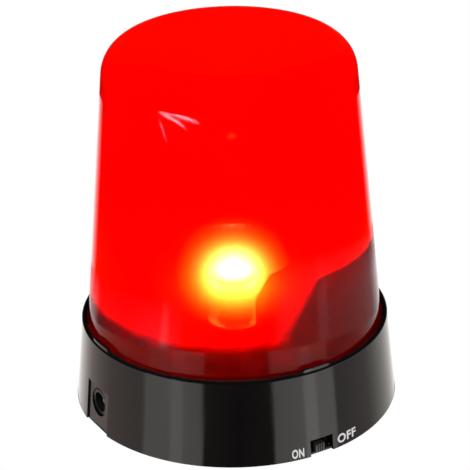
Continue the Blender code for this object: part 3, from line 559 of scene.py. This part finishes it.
def shell():
    """The base's outer shell, in place of the CAD housing."""
    fillet_foot = RIM_TOP - RIM_FILLET
    outline = [(SHELL_RADIUS, SHELL_BOTTOM)]
    for part in SHELL_GUARDS:
        outline.append((SHELL_RADIUS + (RIM_RADIUS - SHELL_RADIUS) * part,
                        SHELL_BOTTOM + (fillet_foot - SHELL_BOTTOM) * part))
    for k in range(RIM_FILLET_STEPS + 1):
        x, z, _ = polar(RIM_FILLET, k * 90 / RIM_FILLET_STEPS)
        outline.append((RIM_RADIUS - RIM_FILLET + x, RIM_TOP - RIM_FILLET + z))
    outline += [(RIM_INNER_RADIUS + RIM_BEVEL, RIM_TOP), (RIM_INNER_RADIUS, RIM_TOP - RIM_BEVEL),
                (RIM_INNER_RADIUS, INNER_WALL_FOOT), (SHELL_RADIUS - SHELL_WALL, SHELL_BOTTOM)]
    item = piece("base_shell", turned(outline, SHELL_SEGMENTS), "base",
                 [MATERIALS["black_gloss"]])
    apply_tool(item, socket_panel(), "DIFFERENCE")
    reach = SOCKET_HOLE_REACH
    hole = turned([(0, -reach), (SOCKET_HOLE_RADIUS, -reach), (SOCKET_HOLE_RADIUS, reach), (0, reach)],
                  SOCKET_HOLE_SEGMENTS)
    bmesh.ops.rotate(hole, verts=hole.verts, matrix=Matrix.Rotation(math.pi / 2, 3, "Y"))
    bmesh.ops.translate(hole, verts=hole.verts, vec=(SOCKET_HOLE_X, 0, SOCKET_HEIGHT))
    apply_tool(item, hole, "DIFFERENCE")
    notch = box((-NOTCH_HALF_WIDTH, NOTCH_FRONT, NOTCH_BOTTOM), (NOTCH_HALF_WIDTH, NOTCH_BACK, NOTCH_TOP))
    apply_tool(item, notch, "DIFFERENCE")
    for azimuth in TAB_AZIMUTHS:
        tab = arc_wall(RIM_INNER_RADIUS + TAB_INNER_GAP, RIM_RADIUS - TAB_OUTER_GAP,
                       azimuth - TAB_HALF_ANGLE, azimuth + TAB_HALF_ANGLE, RIM_TOP - TAB_ROOT, TAB_TOP)
        apply_tool(item, bevelled(tab, TAB_BEVEL), "UNION")
    item.data.shade_smooth()
    item.data.set_sharp_from_angle(angle=SHELL_CREASE_ANGLE)
    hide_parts("base_housing")


def switch_knob():
    """The slide switch's cap, with a stem behind it and grip grooves in its front."""
    cap = box((KNOB_LEFT, KNOB_FRONT, KNOB_BOTTOM), (KNOB_RIGHT, KNOB_BACK, KNOB_TOP))
    item = piece("knob_cap", bevelled(cap, KNOB_BEVEL, 3), "switch_knob",
                 [MATERIALS["black_satin"]])
    stem = box((KNOB_LEFT + STEM_INSET, STEM_FRONT, STEM_BOTTOM),
               (KNOB_RIGHT - STEM_INSET, STEM_BACK, STEM_TOP))
    apply_tool(item, stem, "UNION")
    for offset in GROOVE_OFFSETS:
        middle = (KNOB_LEFT + KNOB_RIGHT) / 2 + offset
        groove = box((middle - GROOVE_HALF_WIDTH, KNOB_FRONT - GROOVE_START, KNOB_BOTTOM + GROOVE_INSET),
                     (middle + GROOVE_HALF_WIDTH, KNOB_FRONT + GROOVE_DEPTH, KNOB_TOP - GROOVE_INSET))
        apply_tool(item, groove, "DIFFERENCE")
    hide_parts("switch_knob")


def lettering(text, arc_offset, width, middle_height, height):
    """Printed letters bent round the base shell, centred an arc length from the switch; their white has a
    painted glow.
    """
    curve = bpy.data.curves.new("letters", "FONT")
    curve.body = text
    curve.size = 1.0
    curve.align_x = "CENTER"
    curve.space_character = MARK_SPACING
    curve.offset = MARK_BOLDNESS
    item = bpy.data.objects.new("letters", curve)
    bpy.context.scene.collection.objects.link(item)
    graph = bpy.context.evaluated_depsgraph_get()
    mesh = bpy.data.meshes.new_from_object(item.evaluated_get(graph), depsgraph=graph)
    bpy.data.objects.remove(item)
    shape = bmesh.new()
    shape.from_mesh(mesh)
    bmesh.ops.triangulate(shape, faces=shape.faces)
    xs = [v.co.x for v in shape.verts]
    ys = [v.co.y for v in shape.verts]
    middle_x, span_x = (max(xs) + min(xs)) / 2, max(xs) - min(xs)
    middle_y, span_y = (max(ys) + min(ys)) / 2, max(ys) - min(ys)
    for vert in shape.verts:
        along = arc_offset + (vert.co.x - middle_x) / span_x * width
        up = middle_height + (vert.co.y - middle_y) / span_y * height
        radius = shell_radius(up) + MARK_LIFT
        angle = math.degrees(along / SHELL_RADIUS) - 90
        vert.co = polar(radius, angle, up)
    return piece("mark_" + text.lower(), shape, "base", [PRINT_WHITE_PAINTED_GLOW])


# ---------------------------------------------------------- stage, light

def stage_card(name, shape, strength, color=(1, 1, 1), camera=False):
    """A plain lit card that shows in reflections, and also to the camera if asked."""
    material, nodes, links = new_material(name)
    nodes.remove(nodes["Principled BSDF"])
    light = nodes.new("ShaderNodeEmission")
    light.inputs["Color"].default_value = (*color, 1)
    light.inputs["Strength"].default_value = strength
    links.new(light.outputs[0], nodes["Material Output"].inputs["Surface"])
    item = piece(name, shape, None, [material])
    item.visible_camera = camera
    item.visible_diffuse = False
    item.visible_shadow = False
    item.visible_transmission = camera
    return item


def floor_point(angle, height):
    """Where on the floor the wall's mirror image, seen from the camera, looks at this height."""
    turn = math.radians(angle)
    dip = math.radians(VIEW_ELEVATION) - 2 * DOME_LEAN * math.cos(turn)
    toward_camera = 270 + VIEW_AZIMUTH
    foot = Vector(polar(SHELL_RADIUS + CARD_GAP, toward_camera + angle, CARD_HEIGHT))
    return foot + Vector(polar(height / math.tan(dip), toward_camera + 2 * angle))


def bounce_card(name, stops, low, high, far_share):
    """A floor card seen only in the lamp's gloss, with its glow running from stop to stop.

    The glow at the card's far edge, which shows highest on the wall, is a share of its near edge's.
    """
    shape = bmesh.new()
    layer = shape.loops.layers.float_color.new("glow")
    for (start, near_color), (end, far_color) in zip(stops, stops[1:]):
        steps = max(1, round((end - start) / CARD_STEP))
        for k in range(steps):
            parts = (k / steps, (k + 1) / steps)
            angles = [start + (end - start) * part for part in parts]
            tints = [Vector(near_color).lerp(Vector(far_color), part) for part in parts]
            corners = (floor_point(angles[0], low), floor_point(angles[1], low),
                       floor_point(angles[1], high), floor_point(angles[0], high))
            face = shape.faces.new([shape.verts.new(corner) for corner in corners])
            far = [tint * far_share for tint in tints]
            for loop, tint in zip(face.loops, (tints[0], tints[1], far[1], far[0])):
                loop[layer] = (*tint, 1)
    card = stage_card(name, shape, 1.0)
    nodes, links = card.data.materials[0].node_tree.nodes, card.data.materials[0].node_tree.links
    glow = nodes.new("ShaderNodeVertexColor")
    glow.layer_name = "glow"
    links.new(glow.outputs["Color"], nodes["Emission"].inputs["Color"])


def bell(nodes, links, distance, width, height):
    """A bell curve of the distance, as a node whose output is height on the axis."""
    ratio = nodes.new("ShaderNodeMath")
    ratio.operation = "DIVIDE"
    ratio.inputs[1].default_value = width
    links.new(distance, ratio.inputs[0])
    square = nodes.new("ShaderNodeMath")
    square.operation = "MULTIPLY"
    links.new(ratio.outputs[0], square.inputs[0])
    links.new(ratio.outputs[0], square.inputs[1])
    fall = nodes.new("ShaderNodeMath")
    fall.operation = "POWER"
    fall.inputs[0].default_value = math.exp(-1)
    links.new(square.outputs[0], fall.inputs[1])
    scaled = nodes.new("ShaderNodeMath")
    scaled.operation = "MULTIPLY"
    scaled.inputs[1].default_value = height / (width * math.sqrt(math.pi))
    links.new(fall.outputs[0], scaled.inputs[0])
    return scaled.outputs[0]


def halo():
    """The bloom round the light source: a glow in the air that lights nothing else."""
    material, nodes, links = new_material("halo")
    nodes.remove(nodes["Principled BSDF"])
    place = nodes.new("ShaderNodeTexCoord")
    squash = nodes.new("ShaderNodeMapping")
    squash.inputs["Scale"].default_value = (HALO_FLATNESS, HALO_FLATNESS, 1)
    links.new(place.outputs["Object"], squash.inputs["Vector"])
    distance = nodes.new("ShaderNodeVectorMath")
    distance.operation = "LENGTH"
    links.new(squash.outputs["Vector"], distance.inputs[0])
    glows = []
    for color, width, height in HALO_GLOWS:
        glow = nodes.new("ShaderNodeEmission")
        glow.inputs["Color"].default_value = (*color, 1)
        strength = bell(nodes, links, distance.outputs["Value"], width * MM, height)
        links.new(strength, glow.inputs["Strength"])
        glows.append(glow)
    both = nodes.new("ShaderNodeAddShader")
    links.new(glows[0].outputs[0], both.inputs[0])
    links.new(glows[1].outputs[0], both.inputs[1])
    links.new(both.outputs[0], nodes["Material Output"].inputs["Volume"])
    material.cycles.volume_step_rate = HALO_STEP_RATE
    ball = bmesh.new()
    bmesh.ops.create_icosphere(ball, subdivisions=3, radius=HALO_RADIUS)
    item = piece("halo", ball, None, [material])
    item.location.z = HALO_HEIGHT * MM
    item.visible_diffuse = False
    item.visible_glossy = False
    item.visible_transmission = False
    item.visible_shadow = False


def view_axes():
    """The camera's directions to its right and back towards itself, before its roll."""
    azimuth, elevation = math.radians(VIEW_AZIMUTH), math.radians(VIEW_ELEVATION)
    back = Vector((math.sin(azimuth) * math.cos(elevation), -math.cos(azimuth) * math.cos(elevation),
                   math.sin(elevation)))
    right = Vector((math.cos(azimuth), math.sin(azimuth), 0))
    return right, back


def mirrored(eye, azimuth, height):
    """Where the eye looks, far off, in the dome's side at this azimuth and height."""
    spot = Vector(polar(dome_side_radius(height, 0), azimuth, height))
    outward = Vector(polar(math.cos(DOME_LEAN), azimuth, math.sin(DOME_LEAN)))
    ray = (spot - eye).normalized()
    return spot + (ray - 2 * ray.dot(outward) * outward) * GLINT_DISTANCE


def glint():
    """Thin lit cards far off that show as a feather in the dome and as two specks on its flange."""
    right, back = view_axes()
    eye = (right * AIM_RIGHT + Vector((0, 0, AIM_HEIGHT)) + back * VIEW_DISTANCE) / MM
    shape = bmesh.new()
    for (azimuth, height), (end_azimuth, end_height), bow, width in GLINT_STREAKS:
        edges = []
        for k in range(GLINT_STEPS + 1):
            part = k / GLINT_STEPS
            along = azimuth + (end_azimuth - azimuth) * part
            swell = math.sin(math.pi * part)
            middle = height + (end_height - height) * part + bow * swell
            half = width * swell + GLINT_HALF_END
            edges.append([shape.verts.new(mirrored(eye, along, middle + side * half))
                          for side in (-1, 1)])
        for near, far in zip(edges, edges[1:]):
            shape.faces.new((near[0], far[0], far[1], near[1]))
    stage_card("glint", shape, GLINT_STRENGTH, color=GLINT_COLOR)


def floor():
    """A bright white floor that is clear from below, so that the underside can be looked at."""
    disc = bmesh.new()
    bmesh.ops.create_circle(disc, cap_ends=True, segments=FLOOR_SEGMENTS, radius=FLOOR_RADIUS)
    bmesh.ops.translate(disc, verts=disc.verts, vec=(0, 0, CARD_HEIGHT))
    item = stage_card("floor", disc, 1.0, camera=True)
    if item.data.polygons[0].normal.z < 0:
        item.data.flip_normals()
    nodes, links = item.data.materials[0].node_tree.nodes, item.data.materials[0].node_tree.links
    side = nodes.new("ShaderNodeNewGeometry")
    through = nodes.new("ShaderNodeBsdfTransparent")
    sheet = nodes.new("ShaderNodeMixShader")
    links.new(side.outputs["Backfacing"], sheet.inputs["Fac"])
    links.new(nodes["Emission"].outputs[0], sheet.inputs[1])
    links.new(through.outputs[0], sheet.inputs[2])
    links.new(sheet.outputs[0], nodes["Material Output"].inputs["Surface"])
    item.location.z = -FLOOR_UNDER_CARDS * MM
    item.visible_glossy = False


def white_world():
    """A white surround that only the camera sees."""
    world = bpy.data.worlds.new("studio")
    bpy.context.scene.world = world
    world.use_nodes = True
    world.node_tree.nodes["Background"].inputs["Color"].default_value = (1, 1, 1, 1)
    world.node_tree.nodes["Background"].inputs["Strength"].default_value = 1.0
    world.cycles_visibility.glossy = False
    world.cycles_visibility.diffuse = False
    world.cycles_visibility.transmission = False


def soft_box(name, azimuth, elevation, distance, side, power):
    """A square light that faces the lamp and shows in no reflection."""
    light = bpy.data.lights.new(name, "AREA")
    light.shape = "RECTANGLE"
    light.size = side
    light.size_y = side
    light.energy = power
    item = bpy.data.objects.new(name, light)
    bpy.context.scene.collection.objects.link(item)
    angle = math.radians(270 + VIEW_AZIMUTH + azimuth)
    lift = math.radians(elevation)
    away = Vector((math.cos(angle) * math.cos(lift), math.sin(angle) * math.cos(lift), math.sin(lift)))
    item.location = LIGHTS_AIM + away * distance
    item.rotation_euler = away.to_track_quat("Z", "Y").to_euler()
    item.visible_glossy = False


def lamp():
    """The light that the LED gives off all round. The LED's own body doesn't block it."""
    light = bpy.data.lights.new("lamp", "POINT")
    light.color = LAMP_COLOR
    light.energy = LAMP_POWER / LAMP_POINTS
    light.shadow_soft_size = LAMP_RADIUS * MM
    for k in range(LAMP_POINTS):
        item = bpy.data.objects.new("lamp", light)
        bpy.context.scene.collection.objects.link(item)
        place = Vector(polar(LAMP_SPREAD, 360 * k / LAMP_POINTS, LAMP_HEIGHT))
        item.location = place * MM
    frame["nodes"]["led"].visible_shadow = False


def camera():
    """The photograph's own view."""
    data = bpy.data.cameras.new("camera")
    data.lens = VIEW_LENS
    data.sensor_width = VIEW_SENSOR
    data.clip_start = 0.01
    item = bpy.data.objects.new("camera", data)
    bpy.context.scene.collection.objects.link(item)
    right, back = view_axes()
    up = back.cross(right)
    basis = Matrix((right, up, back)).transposed()
    roll = Matrix.Rotation(math.radians(VIEW_ROLL), 3, back)
    aim = right * AIM_RIGHT + Vector((0, 0, AIM_HEIGHT))
    item.matrix_world = Matrix.Translation(aim + back * VIEW_DISTANCE) @ (roll @ basis).to_4x4()
    bpy.context.scene.camera = item


dress_frame()
dome()
shell()
switch_knob()
for mark in MARKS:
    lettering(*mark)
floor()
for card in BOUNCE_CARDS:
    bounce_card(*card)
white_world()
halo()
glint()
for row in SOFT_BOXES:
    soft_box(*row)
lamp()
camera()
bpy.context.scene.view_settings.view_transform = "Standard"
